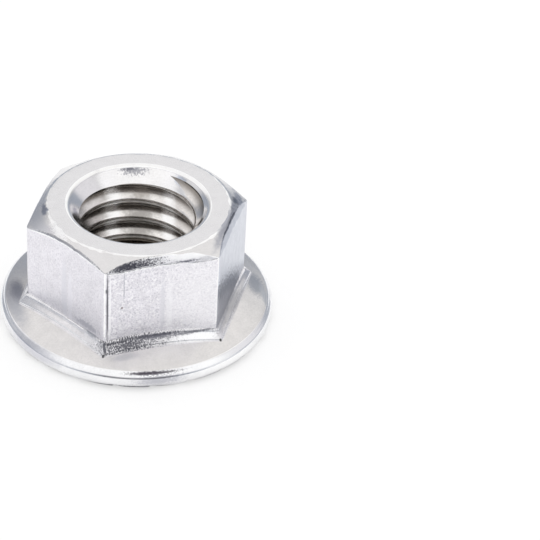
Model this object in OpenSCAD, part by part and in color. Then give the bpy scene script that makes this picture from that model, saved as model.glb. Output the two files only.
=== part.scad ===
// Hexagon flange nut with a serrated bearing face, one solid piece of stainless steel.
// Millimetres. The origin is the middle of the bearing face, +Z points to the hexagon's free end.
// The nut rests on the crests of its serrations at z = 0, and two hexagon corners lie on the X axis.

/* [Hexagon] */
// width across the flats
across_flats = 14.9; // [13.8:0.05:15.6]
// height of the whole nut from the crests of the serrations to the top ring
nut_height = 9.65; // [8:0.05:14]
// radius of the six upright edges
corner_round = 0.5; // [0.15:0.05:0.8]
// how far the top ring's edge lies inside the flats
ring_inset = 0.53; // [0.2:0.01:1]
// slope of the conical top chamfer below the horizontal, in degrees
chamfer_angle = 32; // [20:1:40]

/* [Bore] */
// diameter of the plain bore, which is the crest diameter of the thread
bore_d = 8.5; // [7.6:0.05:8.9]
// widening of the radius by the countersink at the top
top_countersink = 1.08; // [0.5:0.01:1.6]
// widening of the radius by the countersink at the bearing face
bottom_countersink = 1.3; // [0.6:0.05:1.8]

/* [Flange] */
// largest diameter of the flange
flange_d = 21; // [19.6:0.1:24]
// slope of the flange's conical top, in degrees
flange_slope = 20; // [14:1:26]
// height of the cone's outer edge over the bearing face
cone_edge_height = 1.48; // [1.38:0.01:2.2]
// how far the cone's outer edge lies inside the rim
cone_edge_inset = 0.45; // [0.35:0.01:0.7]
// radius of the shoulder between the cone and the crease
shoulder_round = 0.28; // [0.2:0.01:0.34]
// radius of the rim above its upright band
bead_round = 0.53; // [0.45:0.01:0.6]
// height at which the upright band of the rim ends
band_top = 0.85; // [0.8:0.01:0.92]
// radius of the rim's lower edge
rim_round = 0.65; // [0.4:0.05:0.8]

/* [Foot band] */
// how far the foot band stands out from the flats
foot_flare = 0.42; // [0.1:0.02:0.7]
// how high the foot band starts over the flange at the middle of a flat
foot_rise = 0.33; // [0.15:0.01:0.8]
// height over which the foot band slopes outward
foot_drop = 0.62; // [0.3:0.02:0.9]

/* [Serrations] */
// number of swirled teeth on the bearing face
tooth_count = 24; // [16:1:32]
// diameter at which the tooth edges start, tangent to the plain inner ring
serration_start_d = 13.65; // [12.75:0.05:14.6]
// radius of a swirled tooth edge as a share of the serrated ring's width
swirl_ratio = 1.1; // [0.95:0.05:1.3]
// run of a tooth's ramp for each millimetre of depth
ramp_run = 5.5; // [4:0.1:9]
// width of a crest at its inner end
crest_width = 0.15; // [0.05:0.01:0.3]
// share of the tooth pitch by which a crest widens towards the rim
crest_share = 0.19; // [0.05:0.01:0.35]
// set-back of the plain inner ring behind the crests
ring_recess = 0.1; // [0.04:0.01:0.25]

/* [Hidden] */
$fn = 96;
steel = [0.78, 0.78, 0.8];
skin = 0.05;
hair = 0.002;
half_flat = across_flats / 2;
corner_factor = 1 / cos(30);
top_ring_r = half_flat - ring_inset;
bore_r = bore_d / 2;
top_mouth_r = bore_r + top_countersink;
bottom_mouth_r = bore_r + bottom_countersink;
rim_r = flange_d / 2;
core_r = bore_r / 2;
cone_edge_r = rim_r - cone_edge_inset;
cone_fall = tan(flange_slope);
foot_half = half_flat + foot_flare;
foot_top = cone_height(half_flat) + foot_rise;
foot_knee = foot_top - foot_drop;
tooth_pitch = 360 / tooth_count;
serration_start_r = serration_start_d / 2;
inner_ring_r = serration_start_r + crest_width;
swirl_r = swirl_ratio * (rim_r - serration_start_r);
swirl_centre_r = serration_start_r + swirl_r;
ramp_r = swirl_r - crest_width;
crest_turn = crest_share * tooth_pitch;
ramp_depth = 0.9 * ramp_r / ramp_run;

// height of the flange's conical top at a distance from the axis
function cone_height(r) = cone_edge_height + (cone_edge_r - r) * cone_fall;

// a point at a distance and an angle from the axis
function polar(r, a) = [r * cos(a), r * sin(a)];

// the hexagon in plan: a sharp hexagon with its corners cut back to where its round edges end
// each round is a hair larger than its place, so that it crosses the flats and doesn't only touch them
module hexagon_plan() {
    round_centre_r = (half_flat - corner_round) * corner_factor;
    cut_back_r = round_centre_r + corner_round * cos(30);
    intersection() {
        circle(r = half_flat * corner_factor, $fn = 6);
        union() {
            rotate(30) circle(r = cut_back_r * corner_factor, $fn = 6);
            for (corner = [0:5])
                translate(polar(round_centre_r, 60 * corner)) circle(r = corner_round + hair);
        }
    }
}

// the cone that cuts the hexagon's top corners and leaves the flat top ring
module top_cone() {
    cone_drop = nut_height - cone_edge_height;
    cylinder(
        h = cone_drop,
        r1 = top_ring_r + cone_drop / tan(chamfer_angle),
        r2 = top_ring_r
    );
}

// the hexagon with its conical top chamfer
module hexagon_body() {
    intersection() {
        translate([0, 0, cone_edge_height])
            linear_extrude(nut_height - cone_edge_height) hexagon_plan();
        translate([0, 0, cone_edge_height]) top_cone();
    }
}

// the six-sided foot band: three crossing bars, each sloped at both ends
module foot_band() {
    bar = [
        [-foot_half, rim_round],
        [foot_half, rim_round],
        [foot_half, foot_knee],
        [half_flat, foot_top],
        [-half_flat, foot_top],
        [-foot_half, foot_knee]
    ];
    intersection_for (turn = [30, 90, 150])
        rotate([90, 0, turn]) linear_extrude(flange_d, center = true) polygon(bar);
}

// half the flange's section: the cone, its rounded shoulder, the crease, the bead and the lower edge
module flange_section() {
    shoulder_centre = [
        cone_edge_r - shoulder_round * sin(flange_slope),
        cone_edge_height - shoulder_round * cos(flange_slope)
    ];
    polygon([
        [core_r, 0],
        [rim_r - rim_round, 0],
        [rim_r, rim_round],
        [rim_r, band_top],
        shoulder_centre,
        [cone_edge_r, cone_edge_height],
        [core_r, cone_height(core_r)]
    ]);
    translate([rim_r - rim_round, rim_round]) circle(r = rim_round);
    translate([rim_r - bead_round, band_top]) circle(r = bead_round);
    translate(shoulder_centre) circle(r = shoulder_round);
}

// the round flange
module flange_disc() {
    rotate_extrude() flange_section();
}

// the plain bore with its two countersinks and the set-back inner ring of the bearing face
module bore_space() {
    translate([0, 0, -skin]) cylinder(h = nut_height + 2 * skin, r = bore_r);
    translate([0, 0, nut_height - top_countersink])
        cylinder(h = top_countersink + skin, r1 = bore_r, r2 = top_mouth_r + skin);
    translate([0, 0, -skin])
        cylinder(
            h = bottom_countersink + ring_recess + skin,
            r1 = bottom_mouth_r + ring_recess + skin,
            r2 = bore_r
        );
    translate([0, 0, -skin]) cylinder(h = ring_recess + skin, r = inner_ring_r);
}

// the space in front of one tooth: its floor is a cone that climbs to the next crest
module gullet() {
    difference() {
        rotate([0, 0, tooth_pitch - crest_turn]) translate([swirl_centre_r, 0, -skin])
            cylinder(
                h = ramp_depth + skin,
                r1 = ramp_r + skin * ramp_run,
                r2 = ramp_r - ramp_depth * ramp_run
            );
        translate([swirl_centre_r, 0, -2 * skin])
            cylinder(h = ramp_depth + 4 * skin, r = swirl_r);
    }
}

// all the spaces between the swirled teeth
module gullets() {
    for (tooth = [0:tooth_count - 1]) rotate([0, 0, tooth_pitch * tooth]) gullet();
}

// the finished nut
module flange_nut() {
    color(steel) difference() {
        union() {
            flange_disc();
            foot_band();
            hexagon_body();
        }
        bore_space();
        gullets();
    }
}

flange_nut();
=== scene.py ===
# %% [markdown]
# A flange nut is one piece of steel: a hexagon to grip, a wide flange that spreads the load, a
# threaded hole, and a ring of small teeth underneath that bite when the nut turns back.
# This lesson dresses the plain CAD nut. The CAD part fixes the size and the place, and here the
# same nut is modelled again with soft edges, a real thread and a worn steel finish.

# %% Load the plain nut
import bpy
import bmesh
import collections
import math
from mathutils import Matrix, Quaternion, Vector, noise


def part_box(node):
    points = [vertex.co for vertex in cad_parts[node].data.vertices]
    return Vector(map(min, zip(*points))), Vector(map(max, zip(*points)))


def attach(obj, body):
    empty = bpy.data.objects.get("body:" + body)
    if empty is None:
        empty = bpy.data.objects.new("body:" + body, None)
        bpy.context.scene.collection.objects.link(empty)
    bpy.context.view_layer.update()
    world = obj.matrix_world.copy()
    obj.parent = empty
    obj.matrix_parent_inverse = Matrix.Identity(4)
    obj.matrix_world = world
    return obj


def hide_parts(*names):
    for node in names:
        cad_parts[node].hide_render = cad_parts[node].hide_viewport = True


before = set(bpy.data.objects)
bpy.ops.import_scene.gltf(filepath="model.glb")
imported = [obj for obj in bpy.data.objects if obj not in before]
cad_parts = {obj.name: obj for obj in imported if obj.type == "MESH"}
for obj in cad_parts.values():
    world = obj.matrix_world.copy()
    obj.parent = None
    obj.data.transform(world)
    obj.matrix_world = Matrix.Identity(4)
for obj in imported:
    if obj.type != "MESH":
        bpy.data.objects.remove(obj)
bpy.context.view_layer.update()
MM = 0.001
low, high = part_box("flange_nut")
rim_r = (high.x - low.x) / 2 / MM
nut_height = high.z / MM
print(f"the plain nut is {2 * rim_r:.2f} mm wide and {nut_height:.2f} mm high")

# %% [markdown]
# The camera comes first, because every other choice is judged through it. The picture was taken
# with a long lens from about 17 cm, so parallel edges stay nearly parallel. The camera is placed
# by its direction from the nut, and then it is turned, not shifted, until the nut stands left of
# the middle of the frame.

# %% Place the camera
camera_azimuth = -104.44
camera_elevation = 35.13
camera_distance = 168.0
camera_roll = 1.115
aim_height = 4.66
frame_px = 540
focal_px = 2195.0
aim_px = Vector((137.6, 257.15))


def direction(azimuth, elevation):
    "A unit vector for an azimuth and an elevation in degrees."
    a, e = math.radians(azimuth), math.radians(elevation)
    return Vector((math.cos(e) * math.cos(a), math.cos(e) * math.sin(a), math.sin(e)))


def add_camera():
    "The camera looks past the nut, so that the nut's middle lands on aim_px."
    data = bpy.data.cameras.new("camera")
    camera = bpy.data.objects.new("camera", data)
    bpy.context.scene.collection.objects.link(camera)
    data.sensor_width = 36.0
    data.lens = focal_px / frame_px * data.sensor_width
    data.clip_start = 0.01
    data.clip_end = 10.0
    back = direction(camera_azimuth, camera_elevation)
    camera.location = Vector((0, 0, aim_height * MM)) + back * camera_distance * MM
    half = frame_px / 2
    seen = Vector((aim_px.x - half, half - aim_px.y, -focal_px)).normalized()
    level = back.to_track_quat("Z", "Y")
    roll = Quaternion((0, 0, 1), math.radians(camera_roll))
    aim = seen.rotation_difference(Vector((0, 0, -1)))
    camera.rotation_euler = (level @ roll @ aim).to_euler()
    return camera


bpy.context.scene.camera = add_camera()
print(f"the lens is {bpy.context.scene.camera.data.lens:.0f} mm long")

# %% [markdown]
# A forged nut starts as a slug that is turned and then pressed to shape. The mesh is made the same
# way. A section is drawn once, from the bearing face over the flange and the hexagon and down the
# hole. Spin turns it round the axis, and then each ring of points is pressed to its true place.
# That keeps one clean grid of faces all over the nut, and every edge can have its own softness.
#
# The grid has 480 columns. That number divides by 24 teeth and by 6 sides, so a column always
# follows each tooth edge below and each corner above.

# %% Sizes of the hexagon, in millimetres
COLUMNS = 480
SIDES = 6
half_flat = 7.45
corner_round = 0.5
ring_edge_r = 6.92
mouth_r = 5.33
bore_r = 4.25
# The hole is made a little too narrow at first, so that the tap cuts all round.
stock_r = 4.12
corner_columns = 6
side_columns = COLUMNS // SIDES


def rounded_hexagon_r(angle, half, corner):
    "How far a hexagon with round corners reaches at an angle; its corners are at 0, 60, 120 ..."
    from_corner = (angle + 30) % 60 - 30
    from_flat = math.radians(30 - abs(from_corner))
    centre = (half - corner) / math.cos(math.radians(30))
    if math.tan(from_flat) * half <= (half - corner) * math.tan(math.radians(30)):
        return half / math.cos(from_flat)
    off = math.radians(abs(from_corner))
    return centre * math.cos(off) + math.sqrt(corner ** 2 - (centre * math.sin(off)) ** 2)


def hexagon_angle(column):
    "The angle of a column: close together round the corners, even along the flats."
    side, place = divmod(column % COLUMNS, side_columns)
    step = min(place, side_columns - place)
    mirrored = place > side_columns / 2
    inner = half_flat - corner_round
    if step <= corner_columns:
        normal = math.radians(30 * step / corner_columns)
        x = inner / math.cos(math.radians(30)) + corner_round * math.cos(normal)
        y = corner_round * math.sin(normal)
        local = math.degrees(math.atan2(y, x))
    else:
        touch = inner * math.tan(math.radians(30))
        share = (step - corner_columns) / (side_columns / 2 - corner_columns)
        local = 30 - math.degrees(math.atan2(touch * (1 - share), half_flat))
    return 60 * side + (60 - local if mirrored else local)


over_corners = 2 * rounded_hexagon_r(0, half_flat, corner_round)
print(f"over the corners the hexagon measures {over_corners:.2f} mm")

# %% [markdown]
# The corners are cut by a cone, but not evenly: the press struck a little off centre. The slope of
# the cone is therefore read between twelve values, one at each corner and one at each flat.
# Under the cone each flat ends in a second, steeper break with its own width and drop. It is wide
# on three of the flats and hardly more than a worn edge on the others.

# %% How the top is cut
slope_at = (0.62, 0.56, 0.60, 0.62, 0.62, 0.63, 0.62, 0.50, 0.47, 0.42, 0.37, 0.56)
break_inset = (0.08, 0.22, 0.08, 0.10, 0.42, 0.29)
break_drop = (0.08, 0.24, 0.08, 0.10, 0.36, 0.42)


def smooth(t):
    "A soft step from 0 to 1."
    t = min(max(t, 0.0), 1.0)
    return t * t * (3 - 2 * t)


def around(values, angle):
    "Reads softly between twelve values, one at each corner and one at each flat."
    place, share = divmod((angle % 360) / 30, 1)
    first, then = values[int(place) % 12], values[(int(place) + 1) % 12]
    return first + (then - first) * smooth(share)


def cone_z(r, angle):
    "Height of the top cone."
    return nut_height - max(r - ring_edge_r, 0) * around(slope_at, angle)


def across_flat(angle):
    "The side that an angle meets, and the place along it from -1 to 1."
    side, place = divmod(angle % 360, 60)
    return int(side), math.tan(math.radians(place - 30)) / math.tan(math.radians(30))


print(f"at +X the cone cuts the corner down to {cone_z(over_corners / 2, 0):.2f} mm")

# %% [markdown]
# The flange is a cone with a rounded shoulder. Below the shoulder runs a fine crease, then the
# bead of the rim. The crease is very shallow, and it fades where the die filled it. Where the
# flats end, a six-sided foot slopes out to the cone. Its upper line rises a little at the middle
# of each flat.

# %% Sizes of the flange and the foot
cone_edge_inset = 0.45
cone_edge_r = rim_r - cone_edge_inset
cone_edge_z = 1.48
flange_slope = 20.0
shoulder_round = 0.28
bead_round = 0.53
rim_round = 0.65
band_top = 0.85
foot_half = 7.95
foot_corner = 0.1
# The foot's upper line on each flat: its height at the corners, its rise in the middle, its tilt.
foot_line_at = (
    (2.5, 0.2, 0),
    (2.5, 0.2, 0),
    (2.5, 0.2, 0),
    (2.5, 0.13, 0),
    (2.47, 0.42, -0.1),
    (2.35, 0.05, 0),
)


def flange_z(r):
    "Height of the flange's cone."
    return cone_edge_z + (cone_edge_r - r) * math.tan(math.radians(flange_slope))


def arc(centre, radius, start, end, steps):
    "Points on an arc in the section, as (r, z), from one angle to the other."
    angles = [math.radians(start + (end - start) * i / steps) for i in range(steps + 1)]
    return [(centre[0] + radius * math.cos(a), centre[1] + radius * math.sin(a)) for a in angles]


print(f"at the flats the flange's cone is {flange_z(half_flat):.2f} mm high")


# %% The crease between shoulder and bead
def crease():
    "The middles of the bead and of the shoulder, and the point where their arcs meet."
    bead = (rim_r - bead_round, band_top)
    slope = math.radians(flange_slope)
    shoulder = (
        cone_edge_r - shoulder_round * math.sin(slope),
        cone_edge_z - shoulder_round * math.cos(slope),
    )
    dr, dz = shoulder[0] - bead[0], shoulder[1] - bead[1]
    apart = math.hypot(dr, dz)
    along = (bead_round ** 2 - shoulder_round ** 2 + apart ** 2) / (2 * apart)
    out = math.sqrt(bead_round ** 2 - along ** 2)
    r = bead[0] + along * dr / apart + out * dz / apart
    z = bead[1] + along * dz / apart - out * dr / apart
    return bead, shoulder, (r, z)


bead_centre, shoulder_centre, crease_point = crease()
crease_depth = 0.031
crease_reach = 0.16
# The way straight out of the crease, and how far it is filled at each corner and each flat.
crease_out = (0.73, 0.68)
crease_filled = (0.5, 0.5, 0.3, 0.2, 0.4, 0.3, 0.1, 0.9, 0.6, 0.0, 0.8, 0.7)


def fade_crease(r, z, angle):
    "Moves a point of the section out where the crease is filled."
    near = max(1 - math.dist((r, z), crease_point) / crease_reach, 0)
    push = crease_depth * around(crease_filled, angle) * near ** 2
    return r + push * crease_out[0], z + push * crease_out[1]


def angle_from(centre, point):
    "The angle in the section, in degrees, from a centre to a point."
    return math.degrees(math.atan2(point[1] - centre[1], point[0] - centre[0]))


print(f"the crease runs at {crease_point[0]:.2f} mm from the axis, {crease_point[1]:.2f} mm up")

# %% [markdown]
# The section is written as strokes. A stroke names the finish of the faces that lead to it, the
# point where it ends, how soft that end is, and how many rings lie on the way and round the end.
# One helper traces the strokes and puts an arc of points at each soft end.

# %% Trace a section
# A soft end takes at most this share of the stroke on either side of it.
soft_share = 0.45
# Shine tells the finish where to paint a highlight on an edge, with a little real polish:
# all round a soft end, a little at a hard one.
soft_edge_highlight = 1.0
edge_shine = 0.2


def trace(strokes, start):
    "Points (r, z, finish, shine) along the strokes."
    ends = [start] + [(s[1], s[2]) for s in strokes]
    points, last = [], Vector(start)
    for i, (finish, r, z, soft, between, steps) in enumerate(strokes):
        end = Vector((r, z))
        here = Vector(ends[i])
        there = Vector(ends[i + 2]) if i + 2 < len(ends) else end
        cut = min(soft, soft_share * (end - here).length, soft_share * (there - end).length)
        enter = end + (here - end).normalized() * cut if soft else end
        leave = end + (there - end).normalized() * cut if soft else end
        for k in range(1, between + 1):
            p = last.lerp(enter, k / (between + 1))
            points.append((p.x, p.y, finish, 0.0))
        for k in range(steps + 1):
            t = k / steps if steps else 0
            p = enter.lerp(end, t).lerp(end.lerp(leave, t), t)
            shine = soft_edge_highlight if soft and 0 < k < steps else edge_shine
            points.append((p.x, p.y, finish, shine))
        last = leave
    return points


def wander(angle, height, size, seed):
    "A slow, fixed irregularity between about -1 and 1."
    a = math.radians(angle)
    place = Vector((math.cos(a), math.sin(a), 0)) * size + Vector((seed, 0, height))
    return noise.noise(place) * 2


corner = trace([("flat", 1, 0, 0.2, 0, 4), ("flat", 1, 1, 0, 0, 0)], (0, 0))
print(f"two strokes with a soft corner between them give {len(corner)} points")

# %% [markdown]
# Above the rim the section changes with the angle: the hexagon and the foot reach out at the
# corners, the cone cuts deeper there, and every edge wanders a little, as pressed edges do.

# %% Strokes of the hexagon and the foot
foot_lip_inset = 0.02
foot_lip_height = 0.10
# The break narrows towards the corners, but it never fades below this share of its size.
least_break = 0.12
# The hole's wall is drawn down to this height, and a bridge of faces closes it further down.
stub_z = 3.0
bead_steps = 9
shoulder_steps = 7
cone_rings = 10
# The upright edges get a painted highlight over about one degree, and the foot gets one
# only at its lip.
corner_highlight_width = 0.7
corner_highlight_middle = -0.3
foot_highlight_band = 0.12
shoulder_shine = 0.6
# How far the foot's upper line wanders, in millimetres, and the break and the softness, as shares.
foot_wander = 0.03
break_wander = 0.15
soft_wander = 0.5


def outer_strokes(angle):
    "The strokes from the flange's cone up to the hole, at an angle."
    side, place = across_flat(angle)
    in_plan = rounded_hexagon_r(angle, half_flat, corner_round)
    foot_r = rounded_hexagon_r(angle, foot_half, foot_corner)
    base, arch, tilt = foot_line_at[side]
    foot_line = base + arch * (1 - place * place) + tilt * place
    foot_line += foot_wander * wander(angle, 0, 9, 4)
    keep = max(1 - abs(place) ** 5, least_break)
    inset = break_inset[side] * keep * (1 + break_wander * wander(angle, 3, 8, 1))
    drop = break_drop[side] * keep * (1 + break_wander * wander(angle, 5, 12, 2))
    break_r = in_plan - inset
    soften = 1 + soft_wander * wander(angle, 1, 14, 7)
    return [
        ("foot", foot_r, flange_z(foot_r), 0.04, 0, 2),
        ("foot", foot_r - foot_lip_inset, flange_z(foot_r) + foot_lip_height, 0.05, 0, 3),
        ("foot", in_plan, foot_line, 0.25, 4, 6),
        ("flat", in_plan, cone_z(in_plan, angle) - drop, 0.10 * soften, 14, 4),
        ("break", break_r, cone_z(break_r, angle), 0.08 * soften, 4, 4),
        ("chamfer", ring_edge_r, nut_height, 0.15 * soften, 5, 4),
        ("top_ring", mouth_r, nut_height, 0.24, 4, 6),
        ("countersink", stock_r, nut_height - (mouth_r - stock_r), 0, 8, 0),
        ("countersink", stock_r, stub_z, 0, 1, 0),
    ]


print(f"{len(outer_strokes(30))} strokes lead from the flange to the hole")


# %% From the rim's band to the hole
def outer_section(angle):
    "All points of the section above the rim's lower edge."
    bead_end = angle_from(bead_centre, crease_point)
    shoulder_start = angle_from(shoulder_centre, crease_point)
    bead = arc(bead_centre, bead_round, 0, bead_end, bead_steps)
    slope_end = 90 - flange_slope
    shoulder = arc(shoulder_centre, shoulder_round, shoulder_start, slope_end, shoulder_steps)
    points = [(rim_r, band_top - 0.1, "rim", 0.0)]
    points += [(r, z, "rim", edge_shine) for r, z in bead]
    points += [(r, z, "rim", shoulder_shine) for r, z in shoulder[1:]]
    points = [(*fade_crease(r, z, angle), finish, shine) for r, z, finish, shine in points]
    foot_r = rounded_hexagon_r(angle, foot_half, foot_corner)
    for k in range(1, cone_rings):
        r = shoulder[-1][0] + (foot_r - shoulder[-1][0]) * k / cone_rings
        points.append((r, flange_z(r), "cone", 0.0))
    points += trace(outer_strokes(angle), points[-1][:2])
    # A painted highlight runs down each upright corner of the hexagon; on the foot it stays at the lip.
    from_corner = (angle + 30) % 60 - 30
    corner_shine = smooth(1.3 - abs(from_corner - corner_highlight_middle) / corner_highlight_width)
    highlighted = []
    for r, z, finish, shine in points:
        if finish == "flat":
            shine = max(shine, corner_shine)
        elif finish == "foot" and r <= foot_r - foot_highlight_band:
            shine = 0.0
        highlighted.append((r, z, finish, shine))
    return highlighted


print(f"one section above the rim has {len(outer_section(30))} points")

# %% [markdown]
# The teeth are swirled: each tooth edge is an arc that leaves the plain inner ring as a tangent
# and ends nearly radial at the rim. In front of the edge the steel drops steeply, and then a long
# ramp climbs to the next crest. A column is bound to its place in the tooth, so the edge stays
# crisp. The ramps run out into the round lower edge of the rim.

# %% Sizes of the teeth
TEETH = 24
tooth_columns = COLUMNS // TEETH
ramp_columns = 12
pitch_angle = 360 / TEETH
teeth_start_r = 6.825
crest_width = 0.15
plain_ring_r = 6.975
plain_ring_z = 0.10
lower_mouth_r = 5.55
# The lower countersink ends at the first of these heights, and the bridge ends at the second.
sink_end_z = 1.53
bridge_end_z = 1.6
swirl_r = 1.1 * (rim_r - teeth_start_r)
swirl_centre_r = teeth_start_r + swirl_r
ramp_r = swirl_r - crest_width
# The ramp runs this far for each millimetre that it climbs.
ramp_run = 5.5
crest_turn = 0.19 * pitch_angle
# The steep face in front of an edge leans by this many degrees, so that it isn't quite upright.
riser_lean = 0.12
# A column above the rim lies this many columns further round than the same column below it.
tooth_shift = 29
settling_steps = 8
tooth_rows = 20
curl_steps = 10
curl_shine = 0.3
ring_wall = 0.01
first_row = 0.03
print(f"{TEETH} teeth, one every {pitch_angle:.0f} degrees")


# %% The swirled edge and its ramp
def sweep(r, radius):
    "How far an arc about the swirl's centre has turned at a distance from the axis, in degrees."
    c = (r * r + swirl_centre_r ** 2 - radius ** 2) / (2 * r * swirl_centre_r)
    return math.degrees(math.acos(min(max(c, -1), 1)))


def tooth_angle(column, r):
    "The angle of a column of the toothed face at a distance from the axis."
    tooth, place = divmod(column, tooth_columns)
    r = max(r, plain_ring_r)
    climb_end = pitch_angle - crest_turn + sweep(r, ramp_r) - sweep(r, swirl_r)
    if place <= ramp_columns:
        local = riser_lean + (climb_end - riser_lean) * place / ramp_columns
    else:
        share = (place - ramp_columns) / (tooth_columns - 1 - ramp_columns)
        local = climb_end + (pitch_angle - climb_end) * share
    return tooth * pitch_angle + local + sweep(r, swirl_r)


def tooth_z(column, r):
    "Height of the toothed face; the crests are at zero and the ramps lie above it."
    place = column % tooth_columns
    if place >= ramp_columns or r <= plain_ring_r:
        return 0.0
    turn = math.radians(tooth_angle(place, r) - pitch_angle + crest_turn)
    away = math.sqrt(r * r + swirl_centre_r ** 2 - 2 * r * swirl_centre_r * math.cos(turn))
    return max(ramp_r - away, 0.0) / ramp_run


def ramp_end(column):
    "Where the ramp of a column meets the round lower edge of the rim, found step by step."
    r = rim_r - rim_round
    for _ in range(settling_steps):
        rise = rim_round - min(tooth_z(column, r), rim_round)
        r = rim_r - rim_round + math.sqrt(rim_round ** 2 - rise ** 2)
    return r


print(f"beside an edge the ramp is {tooth_z(1, 9.0):.2f} mm deep at a radius of 9 mm")


# %% Close the section
def under_section(column):
    "Points of the section from the hole's lower end to the teeth's outer end, and round the rim."
    strokes = [
        ("countersink", lower_mouth_r, plain_ring_z, 0.08, 4, 3),
        ("bearing", plain_ring_r - ring_wall, plain_ring_z, 0.02, 5, 1),
        ("bearing", plain_ring_r + ring_wall, 0.0, 0.02, 0, 1),
    ]
    points = [(stock_r, bridge_end_z, "countersink", 0.0)]
    points += trace(strokes, (stock_r, sink_end_z))
    end = ramp_end(column)
    for k in range(1, tooth_rows + 1):
        r = plain_ring_r + first_row + (end - plain_ring_r - first_row) * k / tooth_rows
        points.append((r, tooth_z(column, r), "bearing", 0.0))
    start = math.degrees(math.asin((end - rim_r + rim_round) / rim_round))
    centre = (rim_r - rim_round, rim_round)
    curl = arc(centre, rim_round, start - 90, 0, curl_steps)
    return points, curl[1:]


def section(column):
    "The whole closed section of a column: a list of (angle, r, z, finish, shine)."
    above = hexagon_angle(column + tooth_shift)
    points, curl = under_section(column)
    ring = [(tooth_angle(column, r), r, z, finish, shine) for r, z, finish, shine in points]
    for k, (r, z) in enumerate(curl):
        below = tooth_angle(column, r)
        turn = (above - below + 180) % 360 - 180
        ring.append((below + turn * smooth((k + 1) / len(curl)), r, z, "rim", curl_shine))
    return ring + [(above, r, z, finish, shine) for r, z, finish, shine in outer_section(above)]


sections = [section(column) for column in range(COLUMNS)]
STATIONS = len(sections[0])
print(f"{COLUMNS} columns of {STATIONS} points each")

# %% [markdown]
# Now the blank is turned. The first column's section is laid out as a line of points from a
# single vertex, by extruding it again and again, and Spin carries it round the axis. Each point
# remembers which station of the section it is, so it can be pressed to its place afterwards.

# %% Turn the blank
def only(thing):
    "Selects one object alone and makes it active."
    bpy.ops.object.select_all(action="DESELECT")
    thing.select_set(True)
    bpy.context.view_layer.objects.active = thing


def draw_line(name, profile):
    "An object in edit mode whose points (r, z) are extruded one after another from one vertex."
    bpy.ops.object.select_all(action="DESELECT")
    bpy.ops.mesh.primitive_plane_add(size=MM)
    thing = bpy.context.active_object
    thing.name = thing.data.name = name
    bpy.ops.object.mode_set(mode="EDIT")
    bpy.ops.mesh.merge(type="CENTER")
    mesh = bmesh.from_edit_mesh(thing.data)
    mesh.verts.ensure_lookup_table()
    mesh.verts[0].co = (profile[0][0] * MM, 0, profile[0][1] * MM)
    mesh.verts[0].select = True
    for (r0, z0), (r1, z1) in zip(profile, profile[1:]):
        move = ((r1 - r0) * MM, 0, (z1 - z0) * MM)
        bpy.ops.mesh.extrude_region_move(TRANSFORM_OT_translate={"value": move})
    return thing


def turn_blank():
    "A lathe-turned ring whose points carry their station number."
    blank = draw_line("nut", [(r, z) for _, r, z, _, _ in sections[0]])
    bpy.ops.mesh.select_all(action="SELECT")
    mesh = bmesh.from_edit_mesh(blank.data)
    station = mesh.verts.layers.int.new("station")
    for k, vertex in enumerate(mesh.verts):
        vertex[station] = k
    bmesh.update_edit_mesh(blank.data)
    bpy.ops.mesh.spin(
        steps=COLUMNS, angle=math.tau, center=(0, 0, 0), axis=(0, 0, 1), use_auto_merge=True
    )
    bpy.ops.object.mode_set(mode="OBJECT")
    return blank


nut = turn_blank()
print(f"the blank has {len(nut.data.vertices)} points")

# %% [markdown]
# Pressing moves each point to its column's own section. The open ends of the tube meet inside the
# hole, where the thread will be cut, and a bridge of faces closes them.

# %% Press the blank and name its finishes
FINISHES = (
    "bearing", "ramp", "rim", "cone", "foot", "flat", "reflection_flat", "break",
    "chamfer", "top_ring", "countersink", "thread",
)
# The flat on the right has its own finish, with less grain and a darker, bluer colour: a painted
# reflection of a dark shape and its shadow beside the nut.
REFLECTION_SIDE = 5
# A thousandth of a millimetre, in metres.
HAIR = 1e-6


def face_outward():
    "Turns the normals of all faces outward and leaves edit mode."
    bpy.ops.mesh.select_all(action="SELECT")
    bpy.ops.mesh.normals_make_consistent(inside=False)
    bpy.ops.object.mode_set(mode="OBJECT")


def press(blank):
    "Moves every point to its place and gives every face the finish of its station."
    mesh = bmesh.new()
    mesh.from_mesh(blank.data)
    station = mesh.verts.layers.int["station"]
    shine = mesh.verts.layers.float.new("shine")
    for vertex in mesh.verts:
        turned = math.degrees(math.atan2(vertex.co.y, vertex.co.x)) % 360
        column = round(turned * COLUMNS / 360) % COLUMNS
        angle, r, z, _, bright = sections[column][vertex[station]]
        a = math.radians(angle)
        vertex.co = (r * math.cos(a) * MM, r * math.sin(a) * MM, z * MM)
        vertex[shine] = bright
    for face in mesh.faces:
        finish = sections[0][max(v[station] for v in face.verts)][3]
        middle = face.calc_center_median()
        side, _ = across_flat(math.degrees(math.atan2(middle.y, middle.x)))
        if finish == "flat" and side == REFLECTION_SIDE:
            finish = "reflection_flat"
        toothed = middle.xy.length > plain_ring_r * MM
        raised = max(v.co.z for v in face.verts) > HAIR
        if finish == "bearing" and toothed and raised:
            finish = "ramp"
        face.material_index = FINISHES.index(finish)
    mesh.to_mesh(blank.data)
    mesh.free()
    only(blank)
    bpy.ops.object.mode_set(mode="EDIT")
    bpy.ops.mesh.select_all(action="DESELECT")
    bpy.ops.mesh.select_non_manifold()
    bpy.ops.mesh.bridge_edge_loops()
    face_outward()


press(nut)
print(f"pressed: {len(nut.data.polygons)} faces")

# %% [markdown]
# The thread is cut as in the shop, with a tap. The tap here is a closed helical plug: one turn's
# profile is drawn, a Screw modifier winds it up, and a Boolean modifier takes it out of the nut.
# Where the thread runs out into the countersinks, the Boolean leaves the true sickle shapes.

# %% Sizes of the thread
thread_pitch = 1.67
thread_root_r = 5.0
crest_round = 0.36
crest_sweep = 58
root_half_width = 0.09
# The middle of a groove lies at this height, at this angle from +X.
groove_z = 7.85
groove_angle = 75.56
tap_steps = 120
tap_turns = 9
turns_below = 5
# Points that lie closer together than this are one point, in metres.
weld = 1e-7
cut_weld = 2e-7
smooth_below = math.radians(38)


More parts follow.
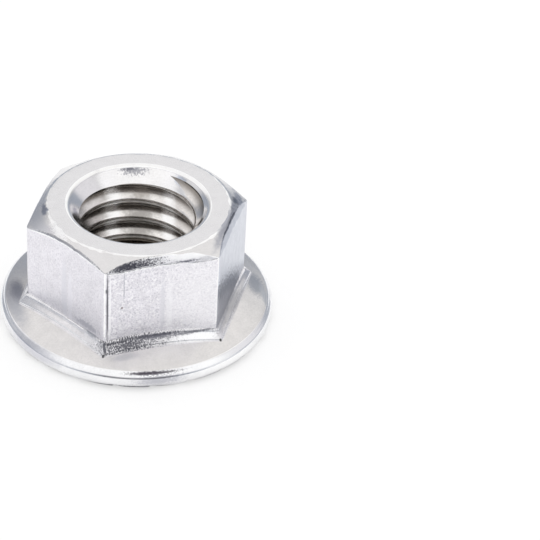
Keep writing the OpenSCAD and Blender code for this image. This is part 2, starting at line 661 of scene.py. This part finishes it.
def thread_profile():
    "One pitch of the tap, as (r, z), from the middle of one rounded crest to the next."
    half = thread_pitch / 2
    turns = [math.radians(crest_sweep * k / 5) for k in range(6)]
    rise = [(bore_r + crest_round * (1 - math.cos(t)), crest_round * math.sin(t)) for t in turns]
    r, z = rise[-1]
    flank_r, flank_z = thread_root_r - 0.02, half - root_half_width
    rise += [(r + (flank_r - r) * k / 3, z + (flank_z - z) * k / 3) for k in (1, 2, 3)]
    middle = [(thread_root_r, half)]
    return rise + middle + [(r, thread_pitch - z) for r, z in reversed(rise)]


print(f"the thread is {thread_root_r - bore_r:.2f} mm deep")


# %% Wind the tap
def make_tap():
    "The closed helical plug that cuts the thread."
    profile = thread_profile()
    tap = draw_line("tap", profile)
    bpy.ops.object.mode_set(mode="OBJECT")
    screw = tap.modifiers.new("wind", "SCREW")
    screw.steps = screw.render_steps = tap_steps
    screw.iterations = tap_turns
    screw.screw_offset = thread_pitch * MM
    screw.use_merge_vertices = True
    screw.merge_threshold = HAIR
    screw.use_smooth_shade = True
    bpy.ops.object.modifier_apply(modifier="wind")
    bpy.ops.object.mode_set(mode="EDIT")
    bpy.ops.mesh.select_all(action="SELECT")
    bpy.ops.mesh.remove_doubles(threshold=weld)
    bpy.ops.mesh.select_all(action="DESELECT")
    bpy.ops.mesh.select_non_manifold()
    bpy.ops.mesh.extrude_region_move()
    bpy.ops.mesh.merge(type="COLLAPSE")
    face_outward()
    groove_middle = max(profile)[1]
    tap.rotation_euler.z = math.radians(groove_angle)
    tap.location.z = (groove_z - groove_middle - turns_below * thread_pitch) * MM
    bpy.ops.object.transform_apply()
    return tap


tap = make_tap()
heights = [v.co.z / MM for v in tap.data.vertices]
print(f"the tap reaches from {min(heights):.1f} to {max(heights):.1f} mm")

# %% [markdown]
# The tap is taken out of the nut. The faces that it cuts keep the tap's own finish, so the thread
# can have its own colour, with painted shade deep in its grooves.

# %% Cut the thread
def blank_material(name):
    "An empty material that gets its nodes later."
    material = bpy.data.materials.new(name)
    material.use_nodes = True
    return material


finish_materials = {name: blank_material(name) for name in FINISHES}


def cut_thread():
    "Takes the tap out of the nut with a Boolean modifier and clears the tap away."
    for name in FINISHES:
        nut.data.materials.append(finish_materials[name])
    tap.data.materials.append(finish_materials["thread"])
    only(nut)
    cut = nut.modifiers.new("thread", "BOOLEAN")
    cut.operation = "DIFFERENCE"
    cut.solver = "MANIFOLD"
    cut.object = tap
    bpy.ops.object.modifier_apply(modifier="thread")
    bpy.data.objects.remove(tap)
    bpy.ops.object.mode_set(mode="EDIT")
    bpy.ops.mesh.select_all(action="SELECT")
    bpy.ops.mesh.remove_doubles(threshold=cut_weld)
    face_outward()
    bpy.ops.object.shade_smooth_by_angle(angle=smooth_below)


cut_thread()
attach(nut, "root")
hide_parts("flange_nut")
triangles = sum(len(face.vertices) - 2 for face in nut.data.polygons)
print(f"the nut has {triangles} triangles")

# %% [markdown]
# Every finish is the same steel, worked in a different way, so one builder can make them all. First
# it needs a short way to write shader nodes. A sheet holds one material's nodes and starts from the
# object's own coordinates, which become millimetres on the nut. Each method adds a step to it.

# %% Nodes in short
class Nodes:
    "A material's node tree. Most methods add nodes and return the socket that holds the result."

    def __init__(self, tree, scale):
        self.tree = tree
        self.count = 0
        self.place = self.mapped(self.node("ShaderNodeTexCoord").outputs["Object"], scale)

    def node(self, kind, **values):
        "Adds a node, sets it beside the last one and gives it its settings."
        made = self.tree.nodes.new(kind)
        made.location = (-200 * (self.count % 8) - 300, -180 * (self.count // 8))
        self.count += 1
        for key, value in values.items():
            setattr(made, key, value)
        return made

    def feed(self, socket, value):
        "Links a socket, or sets a plain number or colour."
        if isinstance(value, bpy.types.NodeSocket):
            self.tree.links.new(value, socket)
        elif isinstance(value, tuple) and len(value) == 3 and socket.type == "RGBA":
            socket.default_value = (*value, 1.0)
        else:
            socket.default_value = value

    def mapped(self, place, scale=1.0, turn=0.0):
        "Scales a place and turns it round the axis by an angle in degrees."
        made = self.node("ShaderNodeMapping")
        self.feed(made.inputs["Vector"], place)
        made.inputs["Scale"].default_value = (scale, scale, scale)
        made.inputs["Rotation"].default_value = (0, 0, math.radians(turn))
        return made.outputs[0]

    def vector(self, operation, a, b=None):
        "A vector sum, product or the like; lengths and dot products come out as one number."
        made = self.node("ShaderNodeVectorMath", operation=operation)
        self.feed(made.inputs[0], a)
        if b is not None:
            self.feed(made.inputs[1], b)
        return made.outputs["Value" if operation in ("LENGTH", "DOT_PRODUCT") else "Vector"]

    def math(self, operation, a, b=0.0, c=0.0, clamp=False):
        "A step of arithmetic; MULTIPLY_ADD gives a * b + c."
        made = self.node("ShaderNodeMath", operation=operation, use_clamp=clamp)
        for socket, value in zip(made.inputs, (a, b, c)):
            self.feed(socket, value)
        return made.outputs[0]

    def between(self, value, low, high, start=0.0, end=1.0):
        "Maps a value from low..high to start..end, softly and clamped."
        made = self.node("ShaderNodeMapRange", interpolation_type="SMOOTHSTEP")
        names = ("Value", "From Min", "From Max", "To Min", "To Max")
        for name, number in zip(names, (value, low, high, start, end)):
            self.feed(made.inputs[name], number)
        return made.outputs["Result"]


print("each kind of node has a short name now")


# %% A sheet with grain, rings and blots
class Sheet(Nodes):
    "Nodes, with the patterns that steel needs."

    def noise(self, place, scale, detail=2.0, rough=0.5):
        "Cloudy noise between 0 and 1, with about as many clouds per millimetre as its scale."
        made = self.node("ShaderNodeTexNoise")
        self.feed(made.inputs["Vector"], place)
        for name, value in (("Scale", scale), ("Detail", detail), ("Roughness", rough)):
            made.inputs[name].default_value = value
        return made.outputs["Fac"]

    def blend(self, share, a, b):
        "Colour a at share 0 and colour b at share 1; a Mix node has its colours at 6 and 7."
        made = self.node("ShaderNodeMix", data_type="RGBA")
        for socket, value in ((0, share), (6, a), (7, b)):
            self.feed(made.inputs[socket], value)
        return made.outputs[2]

    def rings(self, per_mm):
        "Fine rings round the axis, as a lathe leaves them."
        split = self.node("ShaderNodeSeparateXYZ")
        self.feed(split.inputs[0], self.place)
        radius = self.vector("LENGTH", self.vector("MULTIPLY", self.place, (1, 1, 0)))
        joined = self.node("ShaderNodeCombineXYZ")
        self.feed(joined.inputs[0], self.math("MULTIPLY", radius, per_mm))
        self.feed(joined.inputs[1], self.math("MULTIPLY", split.outputs[2], per_mm))
        slow = self.vector("MULTIPLY", self.place, (0.25, 0.25, 0.0))
        return self.noise(self.vector("ADD", joined.outputs[0], slow), 1.0, 2.0)

    def blot(self, mark):
        "The mark's share inside its torn border and 0 outside it."
        place = self.mapped(self.place, turn=mark.turn) if mark.turn else self.place
        off = self.vector("SUBTRACT", place, mark.middle)
        away = self.vector("LENGTH", self.vector("DIVIDE", off, mark.reach))
        torn = self.noise(self.vector("MULTIPLY", self.place, mark.torn), 1.0, 4.0, 0.65)
        torn = self.math("MULTIPLY", self.math("SUBTRACT", torn, 0.5), 2 * mark.ragged)
        away = self.math("ADD", torn, away)
        border = 0.85
        return self.between(away, border - mark.soft, border + mark.soft, mark.share, 0.0)


print("ready to make finishes")

# %% [markdown]
# The marks make this one nut and not another. Some are the steel's own: drag marks where the die
# let go of the foot, a torn dark strip under the chamfer, a dotted line and a speck on the front
# flat. Others are painted light: painted reflections, painted highlights and painted shade, each
# named as such where it stands. Each mark is a blot with a middle and a reach, in millimetres from
# the nut's foot, and with a shade. The rest has usual values: torn is the grain of its edge, with a
# scale for x, y and z, ragged says how far that grain eats into the blot, matt is added to the
# roughness, soft is the width of the edge, and share is how much of the mark shows in its middle.
# Some marks lie on a flat that doesn't face an axis. Their places are written as if the nut had
# been turned by some degrees, so that the flat faces along x.

# %% How a mark is written
EVEN = (2.5, 2.5, 2.5)
DRAWN = (7, 7, 0.9)
FINE = (9, 9, 9)
TORN = (13, 13, 3)
COARSE = (3, 3, 3)
BANDED = (3, 3, 1)
# The grain of the painted reflection in the countersink.
BLURRED = (7, 7, 3)
STREAKED = (5, 5, 1)
# With these turns +X comes out of the right flat, or out of the left front flat.
RIGHT = 30
LEFT = 150
# The two marks low on the right flat are balls so wide that their edge is almost a straight line.
WIDE = (17.6, 17.6, 17.6)

Mark = collections.namedtuple(
    "Mark",
    "middle reach shade torn ragged matt soft turn share",
    defaults=(EVEN, 0.5, 0.0, 0.35, 0, 1.0),
)
# Painted shade: a dark dot under each of the two front corner tips of the foot, where it meets the
# cone.
DOTS = [
    Mark((x, -7.96, 1.86), (0.11, 0.11, 0.2), (0.08, 0.08, 0.08), ragged=0.1)
    for x in (-4.54, 4.48)
]
MARKS = {}
print(f"a mark has {len(Mark._fields)} values")

# %% Marks on the hexagon
MARKS["flat"] = [
    # Painted light: the right half of the front flat is made lighter, with a fine speckle in it.
    Mark((3.0, -7.45, 5.6), (2.8, 0.4, 4.2), (0.9, 0.89, 0.91), FINE, 1.2, 0, 0.6, share=0.55),
    Mark((0.05, -7.45, 5.3), (0.2, 0.4, 3.0), (0.71, 0.705, 0.75), DRAWN, 0.4, share=0.7),
    Mark((0.55, -7.45, 5.0), (0.3, 0.4, 3.2), (0.9, 0.895, 0.92), DRAWN, 0.4, share=0.6),
    Mark((-5.3, -5.8, 3.25), (0.8, 1.7, 0.32), (0.5, 0.5, 0.55), TORN, 1.5, 0.1, share=0.9),
    Mark((-6.5, -3.65, 5.0), (0.3, 0.35, 3.2), (0.74, 0.735, 0.785), DRAWN, 0.3, share=0.8),
    Mark((-6.2, -4.2, 4.6), (0.25, 0.3, 3.0), (0.84, 0.83, 0.88), DRAWN, 0.3, share=0.7),
    Mark((-2.88, -7.45, 7.6), (0.05, 0.3, 1.7), (0.5, 0.5, 0.55), (9, 9, 6), 1.6),
    Mark((-3.02, -7.45, 5.69), (0.1, 0.3, 0.09), (0.22, 0.18, 0.18), EVEN, 0.1, 0.1),
    # Painted reflection along the front corner: a dark line beside the corner's painted highlight, a
    # dark spot at its top, and a thin painted highlight on its other side.
    Mark((-4.12, -7.43, 5.8), (0.07, 0.25, 3.6), (0.16, 0.16, 0.18), DRAWN, 0.5, 0.1),
    Mark((-4.15, -7.43, 7.3), (0.11, 0.25, 0.22), (0.2, 0.2, 0.22), EVEN, 0.5, 0.1),
    Mark((-3.92, -7.45, 5.8), (0.06, 0.25, 3.6), (0.95, 0.95, 0.97), DRAWN, 0.5),
]
# Painted reflection of a dark shape and its shadow: the lower part of the right flat is dark, darkest
# in a band along its slanting upper edge.
MARKS["reflection_flat"] = [
    Mark((7.45, -7.6, -8.1), WIDE, (0.24, 0.25, 0.29), (9, 9, 4), 0.15, 0, 0.012, RIGHT),
    Mark((7.45, -7.6, -9.7), WIDE, (0.48, 0.49, 0.53), (9, 9, 1.5), 0.1, 0, 0.05, RIGHT),
]
print(f"the flats have {len(MARKS['flat']) + len(MARKS['reflection_flat'])} marks")

# %% Marks on the foot
MARKS["foot"] = [
    *DOTS,
    # Painted reflection: the front corner's dark line, carried on down the foot.
    Mark((-4.36, -7.7, 2.4), (0.12, 0.5, 0.7), (0.2, 0.2, 0.22), DRAWN, 0.3),
    # Painted highlight: the right part of the front foot is made nearly white.
    Mark((2.8, -7.7, 2.3), (2.6, 0.6, 0.42), (0.97, 0.97, 0.98), DRAWN, 0.6),
    Mark((-5.0, -6.3, 2.85), (0.6, 1.2, 0.3), (0.38, 0.39, 0.43), TORN, 1.4, 0.1),
    Mark((-2.6, -7.72, 2.38), (2.2, 0.75, 0.6), (0.14, 0.14, 0.16), (14, 14, 2.5), 3.8, 0.1, 0.5),
    Mark((-0.4, -7.55, 2.8), (1.9, 0.5, 0.22), (0.18, 0.18, 0.21), TORN, 2.2, 0.1),
    Mark((2.4, -7.5, 2.66), (2.4, 0.4, 0.1), (0.28, 0.28, 0.31), TORN, 2.0, 0.1),
    Mark((7.7, -1.0, 2.4), (0.7, 3.6, 0.45), (0.52, 0.515, 0.53), TORN, 1.8, 0.1, turn=RIGHT),
]
print(f"the foot has {len(MARKS['foot'])} marks")

# %% Marks on the top
MARKS["break"] = [
    Mark((7.3, 0, 9.0), (1.0, 5.0, 1.2), (0.54, 0.56, 0.62), EVEN, 0.4, soft=0.2, turn=RIGHT),
    Mark((7.12, 0, 9.5), (0.09, 4.0, 0.3), (0.14, 0.15, 0.18), (6, 6, 6), 0.8, 0.1, turn=RIGHT),
    Mark((-2.4, -7.2, 9.15), (2.3, 0.8, 0.55), (0.08, 0.08, 0.1), (13, 13, 9), 2.6, 0.2),
    Mark((7.4, 0.3, 9.2), (0.35, 4.0, 0.7), (0.22, 0.22, 0.25), FINE, 1.4, 0.1, 0.35, LEFT, 0.7),
    Mark((2.2, -7.15, 9.38), (2.0, 0.5, 0.22), (0.97, 0.97, 0.98), FINE, 0.8),
    Mark((0.9, -7.4, 9.08), (2.0, 0.7, 0.09), (0.2, 0.2, 0.24), TORN, 1.2, 0.2),
]
MARKS["chamfer"] = [
    Mark((7.15, -2.7, 9.35), (0.4, 1.8, 0.5), (0.64, 0.635, 0.67), FINE, 0.5, 0, 0.5, LEFT),
    # Painted shade: the left of the chamfer is made darker.
    Mark((-7.8, -0.3, 9.1), (0.8, 1.8, 0.6), (0.64, 0.65, 0.69), ragged=0.4, soft=0.5),
    Mark((-7.05, 0.75, 9.55), (0.3, 0.8, 0.3), (0.3, 0.32, 0.38), EVEN, 1.0, 0.1),
    Mark((-6.5, -2.0, 9.6), (0.6, 1.6, 0.4), (0.95, 0.95, 0.96), FINE, 1.6, 0.1),
    Mark((6.95, -0.6, 9.5), (0.4, 3.4, 0.6), (0.42, 0.43, 0.48), soft=0.5, turn=RIGHT),
    Mark((7.45, -0.9, 9.35), (0.55, 0.6, 0.4), (0.15, 0.17, 0.22), EVEN, 0.7, 0.1),
    Mark((7.7, -0.5, 9.1), (0.5, 1.6, 0.25), (0.38, 0.4, 0.46), EVEN, 0.7),
]
print(f"the top has {len(MARKS['break']) + len(MARKS['chamfer'])} marks")

# %% Marks in the hole
MARKS["countersink"] = [
    # Painted reflection of the camera and the photographer: a dark patch on the back of the
    # countersink, darkest near its top.
    Mark((0.9, 4.95, 9.33), (1.0, 0.7, 0.3), (0.38, 0.38, 0.41), BLURRED, 1.7, 0.1, 0.45),
    Mark((0.5, 5.1, 9.42), (0.5, 0.5, 0.14), (0.22, 0.22, 0.25), BLURRED, 1.5, 0.1, 0.45),
    Mark((4.0, 2.9, 9.3), (0.5, 0.7, 0.4), (0.55, 0.58, 0.65), STREAKED, 0.7),
    Mark((-4.9, 0.6, 9.0), (0.5, 1.3, 0.3), (0.55, 0.55, 0.6), STREAKED, 0.8),
]
MARKS["thread"] = [
    # All of the thread's marks are painted light: three blots of painted shade where the flanks look
    # away from the lights, two streaks of painted highlight, and painted shade on the lowest band.
    Mark((1.3, 4.4, 7.7), (0.8, 0.7, 0.7), (0.45, 0.42, 0.39), COARSE, 0.5, soft=0.5),
    Mark((1.3, 4.4, 4.9), (1.5, 0.9, 2.3), (0.38, 0.36, 0.34), BANDED, 0.5, soft=0.5),
    Mark((-2.5, 4.0, 5.2), (0.8, 0.8, 1.0), (0.42, 0.39, 0.36), COARSE, 0.5, soft=0.5),
    Mark((-0.9, 4.6, 6.2), (0.75, 1.2, 3.6), (0.93, 0.92, 0.91), BANDED, 0.3, soft=0.4),
    Mark((3.3, 3.4, 5.4), (0.55, 1.2, 3.2), (0.93, 0.92, 0.91), BANDED, 0.3, soft=0.4),
    Mark((0.2, 4.5, 2.8), (3.5, 1.4, 0.7), (0.24, 0.21, 0.18), ragged=0.1, soft=0.3),
]
print(f"the hole has {len(MARKS['countersink']) + len(MARKS['thread'])} marks")

# %% Marks on the flange
MARKS["cone"] = [
    Mark((-2.9, -8.4, 1.86), (1.2, 0.35, 0.3), (0.62, 0.615, 0.63), soft=0.5, ragged=0.3),
    Mark((9.0, -1.5, 1.7), (0.9, 1.6, 0.6), (0.42, 0.44, 0.48), FINE, 0.9, soft=0.4),
    Mark((9.45, -3.4, 1.5), (0.35, 2.2, 0.3), (0.55, 0.57, 0.61), soft=0.5, ragged=0.4),
    # Painted shade: the left of the cone is made darker.
    Mark((-9.5, 0.4, 1.6), (0.8, 3.2, 0.6), (0.5, 0.51, 0.55), soft=0.6, ragged=0.4),
    Mark((-9.0, 1.6, 1.8), (0.6, 1.6, 0.6), (0.3, 0.31, 0.36), FINE, 0.7, soft=0.5),
    *DOTS,
]
MARKS["rim"] = [
    # Painted contact shadow: a dark line along the bottom of the rim, on both sides of the front.
    Mark((-3.2, -9.9, 0.2), (3.6, 2.2, 0.23), (0.26, 0.26, 0.29), FINE, 0.9, soft=0.25),
    Mark((4.6, -9.3, 0.16), (3.2, 2.2, 0.2), (0.28, 0.28, 0.31), FINE, 1.0, soft=0.25),
    # Painted highlight: a bright band on the front right of the rim.
    Mark((5.0, -9.2, 1.1), (4.0, 2.2, 0.8), (0.985, 0.985, 0.985), soft=0.5),
    # Painted reflection on the front of the rim: a dark line high up and a grey band under it. The last
    # mark is painted shade that darkens the left of the rim.
    Mark((-1.5, -10.05, 1.36), (2.2, 0.6, 0.12), (0.09, 0.08, 0.1), FINE, 1.2),
    Mark((-0.8, -10.3, 0.85), (2.0, 0.6, 0.42), (0.55, 0.55, 0.59), FINE, 1.2, soft=0.5),
    Mark((-9.0, -4.6, 1.0), (1.8, 4.0, 0.6), (0.7, 0.7, 0.74), EVEN, 0.5, soft=0.5),
]
print(f"{sum(len(marks) for marks in MARKS.values())} marks in all")

# %% [markdown]
# A finish starts as a height and a tone. Fine grain and broad clouds come first, then the lines
# that drawing leaves, the rings that turning leaves, and the salt and pits of a pressed face, with
# painted shade in the pits and painted glints. The tone shades the colour and the roughness, and
# the height becomes a bump of a few thousandths of a millimetre. Painted highlights on the edges,
# painted shade deep in the thread's grooves and the marks go on top.

# %% How steel is finished
bump_height = 6e-6
scratch_grain = (9, 9, 0.7)
rings_per_mm = 9.0
# The front flat faces along -Y. It is the roughest, and the others have this share of its pits.
calm_share = 0.55
# The white of the painted edge highlights.
highlight_white = (0.97, 0.97, 0.97)
# Painted shade in the thread's grooves: its colour, and the distances from the axis, in mm, over which
# it grows towards the roots.
groove_shade = (0.16, 0.14, 0.12)
groove_starts = 4.45
groove_ends = 4.95


def grained(steel, fine, broad, grain, streak, turned):
    "The height and the tone of steel that was drawn or turned."
    height = steel.math("MULTIPLY", fine, grain)
    tone = steel.math("MULTIPLY_ADD", broad, 0.5, steel.math("MULTIPLY", fine, 0.5))
    if streak:
        drawn = steel.noise(steel.vector("MULTIPLY", steel.place, scratch_grain), 1.0, 3.0, 0.6)
        height = steel.math("MULTIPLY_ADD", drawn, 2.0 * streak, height)
        tone = steel.math("MULTIPLY_ADD", steel.math("SUBTRACT", drawn, 0.5), streak, tone)
    if turned:
        rings = steel.rings(rings_per_mm)
        height = steel.math("MULTIPLY_ADD", rings, 1.5 * turned, height)
        tone = steel.math("MULTIPLY_ADD", steel.math("SUBTRACT", rings, 0.5), 0.6 * turned, tone)
    return height, tone


def pitted(steel, height, colour, rough_side):
    """Salt, painted shade in the pits and painted glints of a pressed face, strongest on the front
    flat.
    """
    front = steel.vector("DOT_PRODUCT", steel.place, (0, -1, 0))
    calm = calm_share * rough_side
    pressed = steel.between(front, half_flat - 0.3, half_flat, calm, rough_side)
    salt = steel.math("SUBTRACT", steel.noise(steel.place, 6.0, 2.0, 0.7), 0.5)
    height = steel.math("MULTIPLY_ADD", salt, steel.math("MULTIPLY", pressed, 4.0), height)
    pits = steel.noise(steel.place, 8.0, 1.0)
    pit_shade = steel.math("MULTIPLY", steel.between(pits, 0.55, 0.72), pressed)
    glint = steel.math("MULTIPLY", steel.between(pits, 0.45, 0.30), pressed)
    colour = steel.blend(pit_shade, colour, (0.56, 0.55, 0.60))
    return height, steel.blend(glint, colour, (0.95, 0.94, 0.96))


print(f"the bump is {bump_height / MM:.3f} mm high")


# %% Fill one finish
def finish_steel(
    name, tint, rough, grain=1.0, mottle=0.06, streak=0.0, turned=0.0, edge=1.0, rough_side=0.0, root_shade=0.0
):
    "Fills the material of one finish."
    steel = Sheet(finish_materials[name].node_tree, 1000)
    fine = steel.noise(steel.place, 7.0, 3.0, 0.6)
    broad = steel.noise(steel.place, 1.1, 3.0, 0.55)
    height, tone = grained(steel, fine, broad, grain, streak, turned)
    deep = tuple(c * (1 - 2 * mottle) for c in tint)
    pale = tuple(min(c * (1 + mottle), 0.97) for c in tint)
    colour = steel.blend(steel.between(tone, 0.3, 0.7), deep, pale)
    if rough_side:
        height, colour = pitted(steel, height, colour, rough_side)
    roughness = steel.between(tone, 0.25, 0.75, rough * 1.15, rough * 0.85)
    # Painted highlight on the edges: where the shine is high the colour goes towards white, and the
    # roughness drops a little, as on a polished edge.
    if edge:
        shine = steel.node("ShaderNodeAttribute", attribute_name="shine").outputs["Fac"]
        ragged = steel.math("MULTIPLY_ADD", steel.math("SUBTRACT", broad, 0.5), 1.0, shine)
        highlighted = steel.math("MULTIPLY", steel.between(ragged, 0.6, 1.0), edge)
        colour = steel.blend(highlighted, colour, highlight_white)
        roughness = steel.math("MULTIPLY_ADD", highlighted, -0.1, roughness, clamp=True)
    # Painted shade: towards the roots of the thread's grooves the colour goes dark brown.
    if root_shade:
        radius = steel.vector("LENGTH", steel.vector("MULTIPLY", steel.place, (1, 1, 0)))
        deep_down = steel.between(radius, groove_starts, groove_ends)
        colour = steel.blend(steel.math("MULTIPLY", deep_down, root_shade), colour, groove_shade)
    for mark in MARKS.get(name, ()):
        blot = steel.blot(mark)
        colour = steel.blend(blot, colour, mark.shade)
        roughness = steel.math("MULTIPLY_ADD", blot, mark.matt, roughness)
    bump = steel.node("ShaderNodeBump")
    bump.inputs["Distance"].default_value = bump_height
    steel.feed(bump.inputs["Height"], height)
    shader = steel.tree.nodes["Principled BSDF"]
    steel.feed(shader.inputs["Metallic"], 1.0)
    steel.feed(shader.inputs["Base Color"], colour)
    steel.feed(shader.inputs["Roughness"], roughness)
    steel.feed(shader.inputs["Normal"], bump.outputs[0])


print(f"marks wait for {len(MARKS)} of the finishes")

# %% The twelve finishes
finish_steel("flat", (0.80, 0.785, 0.83), 0.33, grain=1.8, mottle=0.05, streak=0.12, rough_side=0.9)
# The right flat's darker, bluer tint is part of its painted reflection.
finish_steel("reflection_flat", (0.63, 0.65, 0.71), 0.33, grain=1.0, mottle=0.04, streak=0.25, edge=0.12)
finish_steel("break", (0.84, 0.84, 0.87), 0.35, grain=2.5, mottle=0.10)
finish_steel("chamfer", (0.79, 0.78, 0.785), 0.24, grain=0.3, mottle=0.02, turned=0.12)
finish_steel("top_ring", (0.79, 0.78, 0.79), 0.26, grain=0.15, mottle=0.012, turned=0.1)
finish_steel("countersink", (0.90, 0.89, 0.89), 0.14, grain=0.4, mottle=0.03, turned=0.3)
finish_steel("thread", (0.82, 0.79, 0.765), 0.15, grain=0.4, mottle=0.08, turned=0.2, edge=0, root_shade=0.8)
finish_steel("cone", (0.79, 0.775, 0.77), 0.24, grain=1.0, mottle=0.035)
finish_steel("foot", (0.82, 0.81, 0.83), 0.26, streak=0.2)
finish_steel("rim", (0.92, 0.92, 0.93), 0.22, grain=0.9, mottle=0.03)
finish_steel("bearing", (0.70, 0.69, 0.69), 0.36, grain=2.5, mottle=0.12, edge=0)
finish_steel("ramp", (0.86, 0.85, 0.85), 0.22, grain=0.6, mottle=0.04, edge=0)
print(f"{len(finish_materials)} finishes")

# %% [markdown]
# Polished steel shows its surroundings more than itself. Over a white floor and under a white sky
# the flats look pale, because they mirror the floor. What makes the metal read as metal is the
# darkness between the lights: a low grey horizon, dim sides, and the dark photographer in front.
# A dome that only reflections see holds these. The floor stays white to the camera and keeps the
# soft shadow under the rim.

# %% A white world
world = bpy.data.worlds.new("studio")
bpy.context.scene.world = world
world.use_nodes = True
sky = world.node_tree.nodes["Background"]
sky.inputs["Color"].default_value = (1, 1, 1, 1)
sky.inputs["Strength"].default_value = 1.0
print("a white world")

# %% A floor that pales its shadow
# The floor lies a hair lower than the nut, so that it doesn't share a plane with the crests.
floor_drop = 0.02
# The camera sees the floor as a mixture of paint and glow, which keeps the shadow but pales it.
floor_glow = 0.55

bpy.ops.object.select_all(action="DESELECT")
bpy.ops.mesh.primitive_circle_add(vertices=96, radius=1.5, fill_type="NGON")
floor = bpy.context.active_object
floor.name = floor.data.name = "floor"
floor.location.z = -floor_drop * MM
white = bpy.data.materials.new("white_floor")
white.use_nodes = True
nodes = white.node_tree.nodes
paint = nodes["Principled BSDF"]
paint.inputs["Base Color"].default_value = (0.97, 0.97, 0.97, 1)
paint.inputs["Roughness"].default_value = 0.9
paint.inputs["Specular IOR Level"].default_value = 0.0
light_path = nodes.new("ShaderNodeLightPath")
glow_share = nodes.new("ShaderNodeMath")
glow_share.operation = "MULTIPLY"
glow_share.inputs[1].default_value = floor_glow
glow = nodes.new("ShaderNodeEmission")
mixed = nodes.new("ShaderNodeMixShader")
link = white.node_tree.links.new
link(light_path.outputs["Is Camera Ray"], glow_share.inputs[0])
link(glow_share.outputs[0], mixed.inputs[0])
link(paint.outputs[0], mixed.inputs[1])
link(glow.outputs[0], mixed.inputs[2])
link(mixed.outputs[0], nodes["Material Output"].inputs["Surface"])
floor.data.materials.append(white)
print(f"the floor lies {floor_drop} mm below the nut")

# %% One soft lamp
lamp_data = bpy.data.lights.new("soft_lamp", "AREA")
lamp_data.energy = 1.6
lamp_data.size = 1.2
lamp = bpy.data.objects.new("soft_lamp", lamp_data)
bpy.context.scene.collection.objects.link(lamp)
lamp_height = 0.9
lamp.location = (0, 0, lamp_height)
lamp.visible_glossy = False
bpy.context.scene.view_settings.view_transform = "Standard"
print(f"the lamp hangs {lamp_height} m up")

# %% A dome that only reflections see
dome_radius = 0.6
horizon_top = math.radians(14)
sky_bottom = math.radians(30)
horizon_grey = (0.36, 0.39, 0.45)
upper_grey = (0.50, 0.49, 0.49)
# Each light: azimuth from the camera, elevation, full and faded reach in degrees, colour.
LIGHTS = (
    (-68, 26, 14, 26, (0.85, 0.86, 0.88)),
    (68, 26, 14, 26, (0.85, 0.86, 0.88)),
    (0, 8, 22, 38, (0.13, 0.13, 0.15)),
    (107, 28, 12, 26, (0.80, 0.79, 0.82)),
    (-107, 28, 10, 24, (0.62, 0.63, 0.66)),
    (0, 90, 20, 42, (0.97, 0.96, 0.95)),
    (170, 42, 14, 32, (1.0, 1.0, 1.0)),
    (-130, 53, 18, 32, (0.97, 0.96, 0.96)),
    (136, 56, 12, 26, (0.98, 0.97, 0.96)),
    (-48, 47, 18, 32, (1.05, 1.05, 1.06)),
    (48, 47, 18, 32, (1.05, 1.05, 1.06)),
    (0, 54, 24, 38, (1.05, 1.05, 1.05)),
    (0, -90, 45, 75, (0.82, 0.82, 0.84)),
)


def dome_shader(tree):
    "A glow that depends on the direction alone."
    tree.nodes.remove(tree.nodes["Principled BSDF"])
    sky = Sheet(tree, 1)
    toward = sky.vector("NORMALIZE", sky.place)
    split = sky.node("ShaderNodeSeparateXYZ")
    sky.feed(split.inputs[0], toward)
    height = sky.between(split.outputs[2], math.sin(horizon_top), math.sin(sky_bottom))
    colour = sky.blend(height, horizon_grey, upper_grey)
    for azimuth, elevation, full, faded, light in LIGHTS:
        near = sky.vector("DOT_PRODUCT", toward, tuple(direction(azimuth, elevation)))
        edge = math.cos(math.radians(faded)), math.cos(math.radians(full))
        colour = sky.blend(sky.between(near, *edge), colour, light)
    glow = sky.node("ShaderNodeEmission")
    sky.feed(glow.inputs["Color"], colour)
    sky.tree.links.new(glow.outputs[0], sky.tree.nodes["Material Output"].inputs["Surface"])


bpy.ops.mesh.primitive_uv_sphere_add(segments=64, ring_count=32, radius=dome_radius)
dome = bpy.context.active_object
dome.name = dome.data.name = "dome"
dome.rotation_euler.z = math.radians(camera_azimuth)
sky_material = bpy.data.materials.new("dome_glow")
sky_material.use_nodes = True
dome_shader(sky_material.node_tree)
dome.data.materials.append(sky_material)
dome.visible_camera = dome.visible_diffuse = dome.visible_shadow = False
print(f"the dome holds {len(LIGHTS)} lights")
